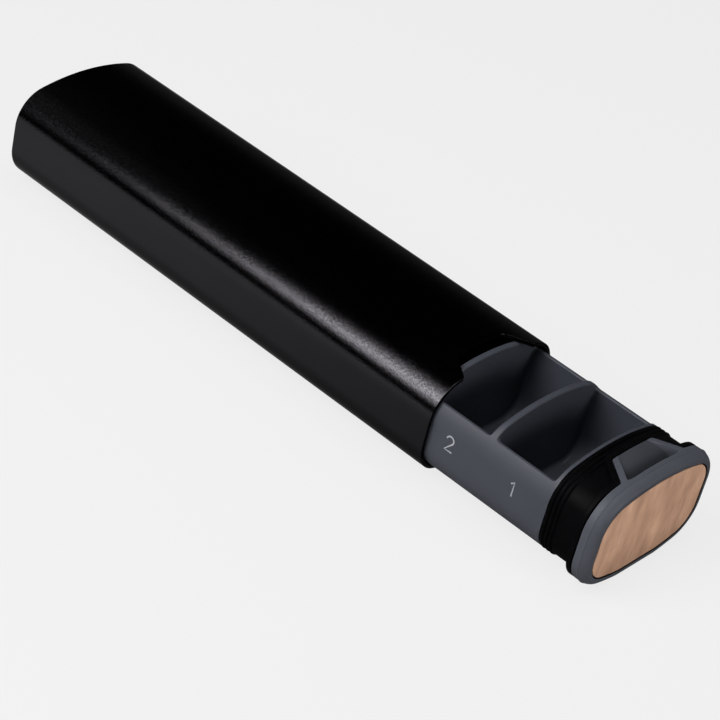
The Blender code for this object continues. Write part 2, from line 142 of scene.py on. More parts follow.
def grey(tone):
    return (tone, tone, tone, 1)


def newFinish(name, colour, roughness, metallic=0.0, specular=0.5):
    finish = bpy.data.materials.new(name)
    finish.use_nodes = True
    shader = finish.node_tree.nodes["Principled BSDF"]
    shader.inputs["Base Color"].default_value = (*colour, 1)
    shader.inputs["Roughness"].default_value = roughness
    shader.inputs["Metallic"].default_value = metallic
    shader.inputs["Specular IOR Level"].default_value = specular
    return finish, finish.node_tree, shader


def makeCamera():
    data = bpy.data.cameras.new("camera")
    data.sensor_width = cameraSetup["sensor"]
    data.lens = cameraSetup["focalPixels"] / cameraSetup["pictureSide"] * cameraSetup["sensor"]
    data.clip_start = cameraSetup["nearest"]
    camera = addObject("camera", data)
    aim = cameraSetup["aim"].normalized()
    right = aim.cross(cameraSetup["up"]).normalized()
    turn = Matrix((right, right.cross(aim), -aim)).transposed().to_4x4()
    turn.translation = cameraSetup["place"]
    camera.matrix_world = turn
    bpy.context.scene.camera = camera


def makeLamp(name, place, target, width, height, watts, fades):
    data = bpy.data.lights.new(name, "AREA")
    data.shape = "RECTANGLE"
    data.size = width
    data.size_y = height
    data.energy = watts
    data.use_nodes = True
    tree = data.node_tree
    parts = splitVector(tree, addNode(tree, "ShaderNodeNewGeometry"), "Parametric")
    product = addNode(tree, "ShaderNodeValue")
    product.outputs[0].default_value = 1
    for (share, power, least), axis, rim, inner in zip(fades, "XXYY", (0, 1, 0, 1), (1, -1, 1, -1)):
        curve = addNode(tree, "ShaderNodeMath", {1: power}, operation="POWER")
        wire(tree, mapRange(tree, parts, axis, rim, rim + inner * share, least), 0, curve, 0)
        product = combine(tree, "MULTIPLY", curve, product)
    wire(tree, product, 0, tree.nodes["Emission"], "Strength")
    lamp = addObject(name, data)
    lamp.location = place
    lamp.rotation_euler = (Vector(target) - Vector(place)).to_track_quat("-Z", "Y").to_euler()
    lamp.visible_camera = False


def glossRay(tree, rays):        # 1 for a glossy ray and for a transmission ray
    total = addNode(tree, "ShaderNodeMath", operation="ADD", use_clamp=True)
    wire(tree, rays, "Is Glossy Ray", total, 0)
    wire(tree, rays, "Is Transmission Ray", total, 1)
    return total


def makeFloor():
    colour = (roomSetup["floorColour"],) * 3
    finish, tree, shader = newFinish("paleFloor", colour, roomSetup["floorRoughness"], specular=0)
    glow = addNode(tree, "ShaderNodeEmission", {"Color": grey(roomSetup["tone"])})
    spot = addNode(tree, "ShaderNodeNewGeometry")
    away = addNode(tree, "ShaderNodeVectorMath", {1: roomSetup["poolCentre"]}, operation="DISTANCE")
    wire(tree, spot, "Position", away, 0)
    pool = mapRange(tree, away, "Value", *roomSetup["poolReach"], roomSetup["poolGlow"], 0)
    side = addNode(tree, "ShaderNodeMath", operation="ABSOLUTE")
    wire(tree, splitVector(tree, spot, "Position"), "Y", side, 0)
    contact = mapRange(tree, side, 0, *roomSetup["contact"])
    rays = addNode(tree, "ShaderNodeLightPath")
    strength = addNode(tree, "ShaderNodeMix", {"B": 1})
    wire(tree, rays, "Is Camera Ray", strength, "Factor")
    wire(tree, combine(tree, "MULTIPLY", pool, contact), 0, strength, "A")
    wire(tree, strength, "Result", glow, "Strength")
    seen = addNode(tree, "ShaderNodeMath", operation="MAXIMUM")
    wire(tree, rays, "Is Camera Ray", seen, 0)
    wire(tree, glossRay(tree, rays), 0, seen, 1)
    share = addNode(tree, "ShaderNodeMath", {1: roomSetup["shadowless"]}, operation="MULTIPLY")
    mix = addNode(tree, "ShaderNodeMixShader")
    wire(tree, seen, 0, share, 0)
    wire(tree, share, 0, mix, 0)
    wire(tree, shader, 0, mix, 1)
    wire(tree, glow, 0, mix, 2)
    wire(tree, mix, 0, tree.nodes["Material Output"], 0)
    half = roomSetup["floorHalf"]
    mesh = bpy.data.meshes.new("floor")
    mesh.from_pydata([(-half, -half, 0), (half, -half, 0), (half, half, 0), (-half, half, 0)],
                     [], [(0, 1, 2, 3)])
    mesh.materials.append(finish)
    floor = addObject("floor", mesh)


def makeWorld():
    world = bpy.data.worlds.new("room")
    bpy.context.scene.world = world
    world.use_nodes = True
    tree = world.node_tree
    light = tree.nodes["Background"]
    light.inputs["Color"].default_value = grey(1)
    parts = splitVector(tree, addNode(tree, "ShaderNodeTexCoord"), "Generated")

    def fade(axis, label):        # along one axis of the direction
        return mapRange(tree, parts, axis, *roomSetup[label], interpolation_type="SMOOTHSTEP")

    def addProduct(first, second, added):        # first times second, and what is added to it
        node = combine(tree, "MULTIPLY_ADD", first, second)
        node.inputs[2].default_value = added
        return node

    left = addProduct(fade("X", "leftTurn"), fade("Z", "leftRise"), 0)
    base = addProduct(left, fade("Y", "leftFade"), roomSetup["glossFloor"])
    gloss = addProduct(fade("Z", "glossRise"), fade("Y", "glossTurn"), 0)
    wire(tree, base, 0, gloss, 2)
    rays = addNode(tree, "ShaderNodeLightPath")
    unseen = addNode(tree, "ShaderNodeMix", {"A": roomSetup["roomLight"]})
    wire(tree, glossRay(tree, rays), 0, unseen, "Factor")
    wire(tree, gloss, 0, unseen, "B")
    seen = addNode(tree, "ShaderNodeMix", {"B": roomSetup["tone"]})
    wire(tree, rays, "Is Camera Ray", seen, "Factor")
    wire(tree, unseen, "Result", seen, "A")
    wire(tree, seen, "Result", light, "Strength")


makeCamera()
for name, lamp in lampSetup.items():
    makeLamp(name, *lamp)
makeFloor()
makeWorld()
bpy.context.scene.view_settings.view_transform = "Standard"
print("camera, lamps and floor made")


# finishes

def speckle(tree, scale, detail=2.0, stretch=(1, 1, 1), harshness=0.5):        # noise on the object
    place = addNode(tree, "ShaderNodeTexCoord")
    turn = addNode(tree, "ShaderNodeMapping", {"Scale": stretch})
    noise = addNode(tree, "ShaderNodeTexNoise", {"Scale": scale, "Detail": detail,
                                                 "Roughness": harshness})
    wire(tree, place, "Object", turn, "Vector")
    wire(tree, turn, "Vector", noise, "Vector")
    return noise


def spread(tree, source, low, high, fromLow=0.3, fromHigh=0.7):        # noise to a range of values
    return mapRange(tree, source, 0, fromLow, fromHigh, low, high)


def tint(tree, shader, colour, *shares):        # colour times every share, into the base colour
    product = shares[0]
    for share in shares[1:]:
        product = combine(tree, "MULTIPLY", product, share)
    scaled = addNode(tree, "ShaderNodeVectorMath", {0: colour}, operation="SCALE")
    wire(tree, product, 0, scaled, "Scale")
    wire(tree, scaled, 0, shader, "Base Color")


def objectAxis(tree):        # X, Y and Z on the object
    return splitVector(tree, addNode(tree, "ShaderNodeTexCoord"), "Object")


def relief(tree, shader, source, height):
    bump = addNode(tree, "ShaderNodeBump", {"Distance": height})
    wire(tree, source, 0, bump, "Height")
    wire(tree, bump, "Normal", shader, "Normal")


metalLook = {
    "colour": (0.0230, 0.0221, 0.0241),
    "edgeTint": 0.6,        # dims the far edge, seen at a grazing angle
    "grainScale": 2300,
    "cloudScale": 90,
    "shoulder": (0.68, 0.74),        # shares of the tube's height over which the grain fades into the colour as painted glints, on the lit shoulder and above
    "grainAndPaintedGlint": (0.3, 1.7),
    "cloud": (0.97, 1.03),
    "roughness": (0.11, 0.18),
    "relief": 0.035 * mm,
}


def anodisedMetal():
    look = metalLook
    finish, tree, shader = newFinish("blackAnodisedMetal", look["colour"], 0.15, metallic=1.0)
    shader.inputs["Specular Tint"].default_value = grey(look["edgeTint"])
    grain = speckle(tree, look["grainScale"], 2, harshness=0.6)
    cloud = speckle(tree, look["cloudScale"], 2)
    low, high = (share * bodyHeight for share in look["shoulder"])
    # painted glints: the grain swings the colour only above the shoulder, where the highlight lies;
    # below it the colour stays even
    grainAndPaintedGlint = addNode(tree, "ShaderNodeMix", {"A": 1})
    wire(tree, mapRange(tree, objectAxis(tree), "Z", low, high), 0, grainAndPaintedGlint, "Factor")
    wire(tree, spread(tree, grain, *look["grainAndPaintedGlint"]), 0, grainAndPaintedGlint, "B")
    tint(tree, shader, look["colour"], grainAndPaintedGlint, spread(tree, cloud, *look["cloud"]))
    wire(tree, spread(tree, grain, *look["roughness"]), 0, shader, "Roughness")
    relief(tree, shader, grain, look["relief"])
    return finish


plasticLook = {
    "grainScale": 4200,
    "cloudScale": 160,
    "grain": (0.95, 1.05),
    "cloud": (0.96, 1.04),
    "roughnessSwing": 0.04,        # to either side of each plastic's own roughness
    "relief": 0.004 * mm,
}


def mouldedPlastic(name, colour, roughness, specular=0.25, deepShade=1.0):
    look = plasticLook
    finish, tree, shader = newFinish(name, colour, roughness, specular=specular)
    grain = speckle(tree, look["grainScale"], 2)
    cloud = speckle(tree, look["cloudScale"], 3)
    # painted shade: the colour falls towards deepShade where the mesh's painted-shade attribute reaches
    # 1
    depth = addNode(tree, "ShaderNodeAttribute", attribute_name="hollow")
    shade = mapRange(tree, depth, "Fac", 0, 1, 1, deepShade)
    tint(tree, shader, colour, shade, spread(tree, grain, *look["grain"]),
         spread(tree, cloud, *look["cloud"]))
    swing = look["roughnessSwing"]
    wire(tree, spread(tree, cloud, roughness - swing, roughness + swing), 0, shader, "Roughness")
    relief(tree, shader, grain, look["relief"])
    return finish


def softSilicone():
    colour = (0.0015, 0.0015, 0.0018)
    finish, tree, shader = newFinish("blackSilicone", colour, 0.40, specular=0.015)
    grain = speckle(tree, 2600, 3)
    cloud = speckle(tree, 220, 4)
    tint(tree, shader, colour, spread(tree, grain, 0.8, 1.2), spread(tree, cloud, 0.85, 1.15))
    wire(tree, spread(tree, cloud, 0.34, 0.44), 0, shader, "Roughness")
    relief(tree, shader, grain, 0.005 * mm)
    return finish


woodLook = {
    "light": (0.60, 0.355, 0.230),
    "mid": (0.43, 0.248, 0.158),
    "dark": (0.27, 0.142, 0.083),
    "pore": (0.17, 0.082, 0.047),
    "stops": (0.30, 0.50, 0.72),        # where on the noise dark, mid and light lie
    "bandShare": 0.60,        # weight of the broad bands against the fine fibre
    "lowerEdge": 0.80,        # brightness at the foot: the colour darkens towards the bottom
    "footHeight": 9 * mm,
}


def walnutWood():
    finish, tree, shader = newFinish("lightWalnut", woodLook["mid"], 0.55, specular=0.3)
    fibre = speckle(tree, 1500, 4, (1, 1.3, 0.14))
    band = speckle(tree, 190, 4, (1, 1, 0.34))
    pores = speckle(tree, 1500, 2, (1, 1, 0.07))
    ramp = addNode(tree, "ShaderNodeValToRGB")
    stops = ramp.color_ramp.elements
    darkStop, midStop, lightStop = woodLook["stops"]
    stops[0].position, stops[0].color = darkStop, (*woodLook["dark"], 1)
    stops[1].position, stops[1].color = lightStop, (*woodLook["light"], 1)
    stops.new(midStop).color = (*woodLook["mid"], 1)
    blend = addNode(tree, "ShaderNodeMix", {"Factor": woodLook["bandShare"]})
    wire(tree, fibre, 0, blend, 2)
    wire(tree, band, 0, blend, 3)
    wire(tree, blend, 0, ramp, "Fac")
    poreMask = spread(tree, pores, 0.6, 0.0, 0.26, 0.36)
    dark = addNode(tree, "ShaderNodeMix", {"B": (*woodLook["pore"], 1)}, data_type="RGBA")
    wire(tree, poreMask, 0, dark, "Factor")
    wire(tree, ramp, 0, dark, "A")
    foot = mapRange(tree, objectAxis(tree), "Z", inlayLow.z, inlayLow.z + woodLook["footHeight"],
                    woodLook["lowerEdge"])
    shaded = addNode(tree, "ShaderNodeVectorMath", operation="SCALE")
    wire(tree, dark, "Result", shaded, 0)
    wire(tree, foot, 0, shaded, "Scale")
    wire(tree, shaded, 0, shader, "Base Color")
    wire(tree, spread(tree, fibre, 0.48, 0.62), 0, shader, "Roughness")
    relief(tree, shader, fibre, 0.02 * mm)
    return finish


def zincSteel():
    colour = (0.55, 0.55, 0.56)
    finish, tree, shader = newFinish("zincSteel", colour, 0.35, metallic=1.0)
    grain = speckle(tree, 1800, 3)
    tint(tree, shader, colour, spread(tree, grain, 0.85, 1.1))
    wire(tree, spread(tree, grain, 0.28, 0.45), 0, shader, "Roughness")
    return finish


def printInk():
    colour = (0.27, 0.28, 0.30)
    finish, tree, shader = newFinish("lightGreyInk", colour, 0.5, specular=0.4)
    grain = speckle(tree, 5000, 2)
    tint(tree, shader, colour, spread(tree, grain, 0.88, 1.1))
    return finish


finishes = {
    "metal": anodisedMetal(),
    "plug": mouldedPlastic("blackMouldedPlastic", (0.012, 0.012, 0.013), 0.5),
    "tray": mouldedPlastic("slateTrayPlastic", (0.0345, 0.0378, 0.048), 0.5),
    # the cap's colour falls to 0.2 of itself where its painted shade is full
    "cap": mouldedPlastic("slateCapPlastic", (0.0480, 0.0520, 0.0635), 0.50, 0.2, 0.2),
    "silicone": softSilicone(),
    "wood": walnutWood(),
    "adhesive": mouldedPlastic("clearAdhesive", (0.72, 0.70, 0.62), 0.6),
    "steel": zincSteel(),
    "ink": printInk(),
}
print("finishes made")


# section that tube, tray, sleeve, cap, plug and inlay share, grown or shrunk in parallel

sectionShape = {
    "cornerRadius": 10.85 * mm,
    "crownRadius": 73.85 * mm,
    "landWidth": 16.0 * mm,        # flat strip that the tube lies on
    "cornerSteps": 16,
    "bellySteps": 16,
    "crownSteps": 116,
    "sideSteps": 3,
}
cornerRadius = sectionShape["cornerRadius"]
crownRadius = sectionShape["crownRadius"]
cornerArm = bodyWidth / 2 - cornerRadius
cornerReach = math.sqrt((crownRadius - cornerRadius) ** 2 - cornerArm ** 2)
cornerSweep = math.atan2(cornerReach, cornerArm)
landDrop = crownRadius - math.sqrt(crownRadius ** 2 - (sectionShape["landWidth"] / 2) ** 2)
crownCentreZ = bodyHeight - crownRadius
bellyCentreZ = crownRadius - landDrop
upperCornerZ = crownCentreZ + cornerReach
lowerCornerZ = bellyCentreZ - cornerReach
axisZ = (upperCornerZ + lowerCornerZ) / 2


def arc(centreY, centreZ, radius, start, end, steps):
    angles = np.linspace(start, end, steps + 1)
    return np.column_stack((centreY + radius * np.cos(angles), centreZ + radius * np.sin(angles)))


def rounding(size, steps):        # (along, inwards) of a quarter round, from its full shrink to none
    angles = np.linspace(0, math.pi / 2, steps + 1)
    return [(size * (1 - math.cos(a)), size * (1 - math.sin(a))) for a in angles]


def makeSection():        # closed loop from under the right side over the top, with outward directions
    shape = sectionShape
    landAngle = -math.acos(shape["landWidth"] / 2 / crownRadius)
    half = [
        arc(0, bellyCentreZ, crownRadius, landAngle, -cornerSweep, shape["bellySteps"]),
        arc(cornerArm, lowerCornerZ, cornerRadius, -cornerSweep, 0, shape["cornerSteps"])[1:],
        np.column_stack((np.full(shape["sideSteps"] + 1, bodyWidth / 2),
                         np.linspace(lowerCornerZ, upperCornerZ, shape["sideSteps"] + 1)))[1:],
        arc(cornerArm, upperCornerZ, cornerRadius, 0, cornerSweep, shape["cornerSteps"])[1:],
        arc(0, crownCentreZ, crownRadius, cornerSweep, math.pi / 2, shape["crownSteps"])[1:],
    ]
    points = np.vstack(half)
    centres = np.vstack([
        np.tile((0, bellyCentreZ), (len(half[0]), 1)),
        np.tile((cornerArm, lowerCornerZ), (len(half[1]), 1)),
        np.column_stack((np.full(len(half[2]), cornerArm), half[2][:, 1])),
        np.tile((cornerArm, upperCornerZ), (len(half[3]), 1)),
        np.tile((0, crownCentreZ), (len(half[4]), 1)),
    ])
    outward = points - centres
    outward /= np.linalg.norm(outward, axis=1)[:, None]
    mirror = np.array((-1, 1))
    loop = np.vstack((points, points[-2::-1] * mirror))
    return loop, np.vstack((outward, outward[-2::-1] * mirror))


sectionLoop, sectionOutward = makeSection()


# parting line between the cap's tongue, the sleeve's collar and the notch in the tube

partingShape = {
    "tongueLength": 6.95 * mm,
    "halfWidth": 8.4 * mm,
    "flare": math.radians(35),
    "cornerRound": 0.9 * mm,
    "rootRound": 1.2 * mm,
    "roundSteps": 16,
}
seatGap = 0.3 * mm
sleeveGap = 0.25 * mm
flangeThickness = 1.6 * mm
tongueBackX = capLow.x
capRearX = tongueBackX + partingShape["tongueLength"]
flangeFrontX = capRearX - sleeveGap
flangeRearX = flangeFrontX - flangeThickness
closing = flangeRearX - mouthX        # how far the tray goes back when the mouth meets the flange


def roundedCorner(before, corner, after, radius):
    corner = Vector(corner)
    toBefore = (Vector(before) - corner).normalized()
    toAfter = (Vector(after) - corner).normalized()
    halfAngle = toBefore.angle(toAfter) / 2
    centre = corner + (toBefore + toAfter).normalized() * radius / math.sin(halfAngle)
    reach = radius / math.tan(halfAngle)
    first = corner + toBefore * reach - centre
    last = corner + toAfter * reach - centre
    start = math.atan2(first.y, first.x)
    sweep = (math.atan2(last.y, last.x) - start + math.pi) % (2 * math.pi) - math.pi
    return arc(centre.x, centre.y, radius, start, start + sweep, partingShape["roundSteps"])


def partingShift(offset, rootX, rootRound):        # where the line lies before rootX, all round
    flare = partingShape["flare"]
    slope = math.tan(flare)
    sideY = partingShape["halfWidth"] + offset / math.cos(flare)
    backX = tongueBackX - offset
    back = (backX, sideY + slope * (backX - tongueBackX))
    root = (rootX, sideY + slope * (rootX - tongueBackX))
    line = np.vstack((
        ((rootX, bodyWidth),),
        roundedCorner((rootX, bodyWidth), root, back, rootRound),
        roundedCorner(root, back, (backX, 0), partingShape["cornerRound"] + offset),
        ((backX, 0),),
    ))[::-1]
    reached = np.interp(np.abs(sectionLoop[:, 0]), line[:, 1], line[:, 0])
    return np.where(sectionLoop[:, 1] > axisZ, reached - rootX, 0)


# Geometry Nodes trees

def startTree(name, inputs, output):        # the tree, and the node that gives its inputs
    tree = bpy.data.node_groups.new(name, "GeometryNodeTree")
    for label, kind in inputs.items():
        tree.interface.new_socket(label, in_out="INPUT", socket_type="NodeSocket" + kind)
    tree.interface.new_socket(output, in_out="OUTPUT", socket_type="NodeSocketGeometry")
    return tree, addNode(tree, "NodeGroupInput")


def endTree(tree, given, source):
    realize = addNode(tree, "GeometryNodeRealizeInstances")
    wire(tree, source, 0, realize, 0)
    paint = addNode(tree, "GeometryNodeSetMaterial")
    wire(tree, realize, 0, paint, "Geometry")
    wire(tree, given, "Finish", paint, "Material")
    wire(tree, paint, 0, addNode(tree, "NodeGroupOutput"), 0)
    return tree


# a piece wrapped round the section: every profile row is a place along X, a depth below the section,
# shares of the front and rear parting lines, and how much painted shade its finish puts on it

def makeWrapTree():
    tree, given = startTree("wrapSection", {
        "Section": "Object", "Profile": "Object", "Around": "Int", "Along": "Int", "Merge": "Float",
        "Finish": "Material"}, "Piece")
    section = addNode(tree, "GeometryNodeObjectInfo")
    profile = addNode(tree, "GeometryNodeObjectInfo")
    wire(tree, given, "Section", section, "Object")
    wire(tree, given, "Profile", profile, "Object")

    def calculate(operation, first, second, firstSocket=0, secondSocket=0):
        node = addNode(tree, "ShaderNodeMath", operation=operation)
        wire(tree, first, firstSocket, node, 0)
        if isinstance(second, (int, float)):
            node.inputs[1].default_value = second
        elif second is not None:
            wire(tree, second, secondSocket, node, 1)
        return node

    def sample(source, index, attribute=None, vector=False):
        kind = "FLOAT_VECTOR" if vector else "FLOAT"
        node = addNode(tree, "GeometryNodeSampleIndex", domain="POINT", data_type=kind)
        if attribute:
            value = addNode(tree, "GeometryNodeInputNamedAttribute", {"Name": attribute},
                            data_type=kind)
        else:
            value = addNode(tree, "GeometryNodeInputPosition")
        wire(tree, source, "Geometry", node, "Geometry")
        wire(tree, value, 0, node, "Value")
        wire(tree, index, 0, node, "Index")
        return node

    around = calculate("ADD", given, 1, "Around")
    grid = addNode(tree, "GeometryNodeMeshGrid")
    wire(tree, around, 0, grid, "Vertices X")
    wire(tree, given, "Along", grid, "Vertices Y")
    index = addNode(tree, "GeometryNodeInputIndex")
    column = calculate("FLOOR", calculate("DIVIDE", index, given, 0, "Along"), None)
    spot = calculate("MODULO", column, given, 0, "Around")
    row = calculate("MODULO", index, given, 0, "Along")
    base = sample(section, spot, None, True)
    outward = sample(section, spot, "outward", True)
    parts = splitVector(tree, sample(profile, row, None, True), 0)
    along = parts
    for line, share in (("frontLine", "frontShare"), ("rearLine", "rearShare")):
        shift = calculate("MULTIPLY", sample(section, spot, line), sample(profile, row, share))
        along = calculate("ADD", along, shift)
    forward = addNode(tree, "ShaderNodeCombineXYZ")
    wire(tree, along, 0, forward, "X")
    drop = addNode(tree, "ShaderNodeVectorMath", operation="SCALE")
    wire(tree, outward, 0, drop, 0)
    wire(tree, parts, "Y", drop, "Scale")
    sunk = combine(tree, "SUBTRACT", base, drop, "ShaderNodeVectorMath")
    place = combine(tree, "ADD", sunk, forward, "ShaderNodeVectorMath")
    settle = addNode(tree, "GeometryNodeSetPosition")
    wire(tree, grid, "Mesh", settle, "Geometry")
    wire(tree, place, 0, settle, "Position")
    # stores the painted shade that each profile row carries, for the finish to darken by
    note = addNode(tree, "GeometryNodeStoreNamedAttribute", {"Name": "hollow"})
    wire(tree, settle, 0, note, "Geometry")
    wire(tree, sample(profile, row, "hollow"), 0, note, "Value")
    merge = addNode(tree, "GeometryNodeMergeByDistance")
    wire(tree, note, 0, merge, "Geometry")
    wire(tree, given, "Merge", merge, "Distance")
    return endTree(tree, given, merge)


wrapTree = makeWrapTree()
mergeDistance = 0.0005 * mm        # points closer together than this are one
leastEdge = 0.0002 * mm        # shorter edges are taken out
sharpAngle = math.radians(50)        # an edge that turns further than this isn't shaded smooth


def pointObject(name, points, **attributes):
    mesh = bpy.data.meshes.new(name)
    mesh.from_pydata([tuple(p) for p in points], [], [])
    for label, values in attributes.items():
        values = np.asarray(values, float)
        kind = "FLOAT_VECTOR" if values.ndim == 2 else "FLOAT"
        attribute = mesh.attributes.new(label, kind, "POINT")
        attribute.data.foreach_set("vector" if values.ndim == 2 else "value", values.ravel())
    return addObject(name, mesh)


def setInputs(modifier, values):
    for item in modifier.node_group.interface.items_tree:
        if item.item_type == "SOCKET" and item.in_out == "INPUT" and item.name in values:
            modifier[item.identifier] = values[item.name]


def takeMesh(holder, name):        # plain mesh of what the modifiers of a holder make
    bpy.context.view_layer.update()
    graph = bpy.context.evaluated_depsgraph_get()
    mesh = bpy.data.meshes.new_from_object(holder.evaluated_get(graph))
    mesh.name = name
    return mesh


def wrap(name, profile, finish, frontLine=0, rearLine=0):
    straight = np.zeros(len(sectionLoop))
    ring = pointObject(name + "Section", [(0, y, z) for y, z in sectionLoop],
                       outward=[(0, y, z) for y, z in sectionOutward],
                       frontLine=straight + frontLine, rearLine=straight + rearLine)
    values = np.array([(*row, 0, 0, 0)[:5] for row in profile])        # what a row leaves out is 0
    rows = pointObject(name + "Profile", [(x, inset, 0) for x, inset in values[:, :2]],
                       frontShare=values[:, 2], rearShare=values[:, 3], hollow=values[:, 4])
    holder = addObject(name + "Holder", bpy.data.meshes.new(name + "Holder"))
    nodesModifier = holder.modifiers.new("wrap", "NODES")
    nodesModifier.node_group = wrapTree
    setInputs(nodesModifier, {"Section": ring, "Profile": rows, "Around": len(sectionLoop),
                              "Along": len(profile), "Merge": mergeDistance, "Finish": finish})
    mesh = takeMesh(holder, name)
    for helper in (holder, ring, rows):
        data = helper.data
        bpy.data.objects.remove(helper)
        bpy.data.meshes.remove(data)
    return mesh


def finishPiece(name, mesh, body, node):
    work = bmesh.new()
    work.from_mesh(mesh)
    bmesh.ops.remove_doubles(work, verts=work.verts, dist=mergeDistance)
    bmesh.ops.dissolve_degenerate(work, dist=leastEdge, edges=work.edges)
    rims = [edge for edge in work.edges if edge.is_boundary]
    if rims:
        bmesh.ops.holes_fill(work, edges=rims, sides=0)
    bmesh.ops.recalc_face_normals(work, faces=work.faces)
    openEdges = sum(1 for edge in work.edges if not edge.is_manifold)
    work.to_mesh(mesh)
    work.free()
    mesh.shade_smooth()
    mesh.set_sharp_from_angle(angle=sharpAngle)
    piece = addObject(name, mesh)
    weigh = piece.modifiers.new("weigh", "WEIGHTED_NORMAL")
    weigh.keep_sharp = True
    weighed = takeMesh(piece, name)
    piece.modifiers.remove(weigh)
    piece.data = weighed
    bpy.data.meshes.remove(mesh)
    weighed.name = name
    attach(piece, body)
    if node:
        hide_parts(node)
    print(name, len(weighed.vertices), "points,", openEdges, "open edges")


# tube

tubeShape = {
    "wall": 1.1 * mm,
    "mouthRound": 0.14 * mm,
    "innerRound": 0.12 * mm,
    "rearRound": 0.35 * mm,
    "notchRootRound": 1.2 * mm,
    "notchReach": 14.0 * mm,        # behind this far from the mouth the rows run straight round again
    "roundSteps": 5,
    "rows": 24,
    "mouthRows": 12,
}


def makeTube():
    shape = tubeShape
    wall = shape["wall"]
    straightX = mouthX - shape["notchReach"]
    outerEdge = rounding(shape["mouthRound"], shape["roundSteps"])
    innerEdge = rounding(shape["innerRound"], shape["roundSteps"])
    rearEdge = rounding(shape["rearRound"], shape["roundSteps"])
    rearX = tubeLow.x
    firstX = rearX + shape["rearRound"]
    profile = [(rearX + along, inwards, 0) for along, inwards in rearEdge]
    profile += [(x, 0, 0) for x in np.linspace(firstX, straightX, shape["rows"])[1:]]
    outerRows = list(zip(np.linspace(straightX, mouthX - shape["mouthRound"], shape["mouthRows"]),
                         np.linspace(0, 1, shape["mouthRows"])))
    profile += [(x, 0, share) for x, share in outerRows[1:-1]]
    profile += [(mouthX - along, inwards, 1) for along, inwards in reversed(outerEdge)]
    profile += [(mouthX - along, wall - inwards, 1) for along, inwards in innerEdge]
    profile += [(x, wall, share) for x, share in reversed(outerRows[:-1])]
    profile += [(x, wall, 0) for x in np.linspace(straightX, firstX, shape["rows"])[1:]]
    profile += [(rearX + along, wall - inwards, 0) for along, inwards in reversed(rearEdge)]
    profile.append(profile[0])
    notch = partingShift(sleeveGap + flangeThickness + seatGap, mouthX + closing,
                         shape["notchRootRound"])
    mesh = wrap("tubeShell", profile, finishes["metal"], frontLine=notch)
    finishPiece("tubeShell", mesh, "tube_body", "tube")


# plug in the tube's closed end

plugShape = {"edgeRound": 0.4 * mm, "roundSteps": 4}


def makePlug():
    inset = (bodyWidth - (plugHigh.y - plugLow.y)) / 2
    edge = rounding(plugShape["edgeRound"], plugShape["roundSteps"])
    profile = [(plugLow.x + along, inset + inwards) for along, inwards in edge]
    profile += [(plugHigh.x - along, inset + inwards) for along, inwards in reversed(edge)]
    mesh = wrap("endPlug", profile, finishes["plug"])
    finishPiece("endPlug", mesh, "tube_body", "rear_plug")


makeTube()
makePlug()
print("tube and plug made")


# seal sleeve

sleeveShape = {
    "landInset": 1.8 * mm,
    "boreInset": 3.35 * mm,
    "ribCount": 3,
    "ribPitch": 1.35 * mm,
    "ribWidth": 1.0 * mm,
    "ribStart": 0.15 * mm,
    "ribInset": 1.35 * mm,
    "ribSteps": 10,
    "edgeRound": 0.3 * mm,
    "collarRootRound": 0.4 * mm,
    "roundSteps": 4,
    "landRows": 8,
    "overlap": 0.15 * mm,        # how deep the flange's foot goes into the land
}


def makeSleeve():
    shape = sleeveShape
    land = shape["landInset"]
    bore = shape["boreInset"]
    startX = sleeveLow.x
    pocket = partingShift(sleeveGap, flangeFrontX, partingShape["rootRound"] - sleeveGap)
    collar = partingShift(sleeveGap + flangeThickness, flangeRearX, shape["collarRootRound"])

    profile = [(startX, bore, 0), (startX, land, 0)]
    for number in range(shape["ribCount"]):
        ribX = startX + shape["ribStart"] + number * shape["ribPitch"]
        for share in np.linspace(0, 1, shape["ribSteps"] + 1):
            swell = (shape["ribInset"] - land) * math.sin(math.pi * share)
            profile.append((ribX + shape["ribWidth"] * share, land + swell, 0))
    ribEndX = profile[-1][0] + shape["ribStart"]
    endX = flangeFrontX - shape["overlap"] / 3        # inside the flange, just short of its front
    shares = np.linspace(0, 1, shape["landRows"])
    profile += [(ribEndX + (endX - ribEndX) * share, land, share) for share in shares]
    profile += [(ribEndX + (endX - ribEndX) * share, bore, share) for share in reversed(shares)]
    profile.append(profile[0])
    mesh = wrap("sealRibs", profile, finishes["silicone"], frontLine=pocket)
    finishPiece("sealRibs", mesh, "tray_body", "seal_sleeve")

    foot = land + shape["overlap"]
    edge = rounding(shape["edgeRound"], shape["roundSteps"])
    profile = [(flangeRearX, foot, 0, 1)]
    profile += [(flangeRearX + along, inwards, 0, 1) for along, inwards in edge]
    profile += [(flangeFrontX - along, inwards, 1, 0) for along, inwards in reversed(edge)]
    profile += [(flangeFrontX, foot, 1, 0), profile[0]]
    mesh = wrap("sealFlange", profile, finishes["silicone"], frontLine=pocket, rearLine=collar)
    finishPiece("sealFlange", mesh, "tray_body", None)


makeSleeve()
print("seal sleeve made")


# cap, with a finger scoop in its tongue

capShape = {
    "underInset": 3.3 * mm,        # the tongue's underside, just clear of the tray's neck
    "backEdge": 0.25 * mm,
    "frontReach": 2.35 * mm,        # the front round, longer than it is deep
    "frontDrop": 2.0 * mm,
    "frontSteps": 14,
    "frontTurn": math.radians(18),        # how sharply the front round sets off from the outside
    "creaseRise": 0.15 * mm,        # thin raised line where the front round begins
    "creaseWidth": 0.50 * mm,
    # its rows: shares of the width behind that place, and of the rise
    "creaseRows": ((0.97, 0.02), (0.30, 0.95), (0.20, 1.0), (0.06, 0.1)),
    "topReach": 1.01,        # how many back edges below the crown the top still reaches
    "pocketGap": 0.15 * mm,
    "pocketEdge": 0.06 * mm,
    "pocketFloor": 0.6 * mm,        # how far the pocket goes behind the inlay
    "roundSteps": 4,
    "topRows": 80,
}

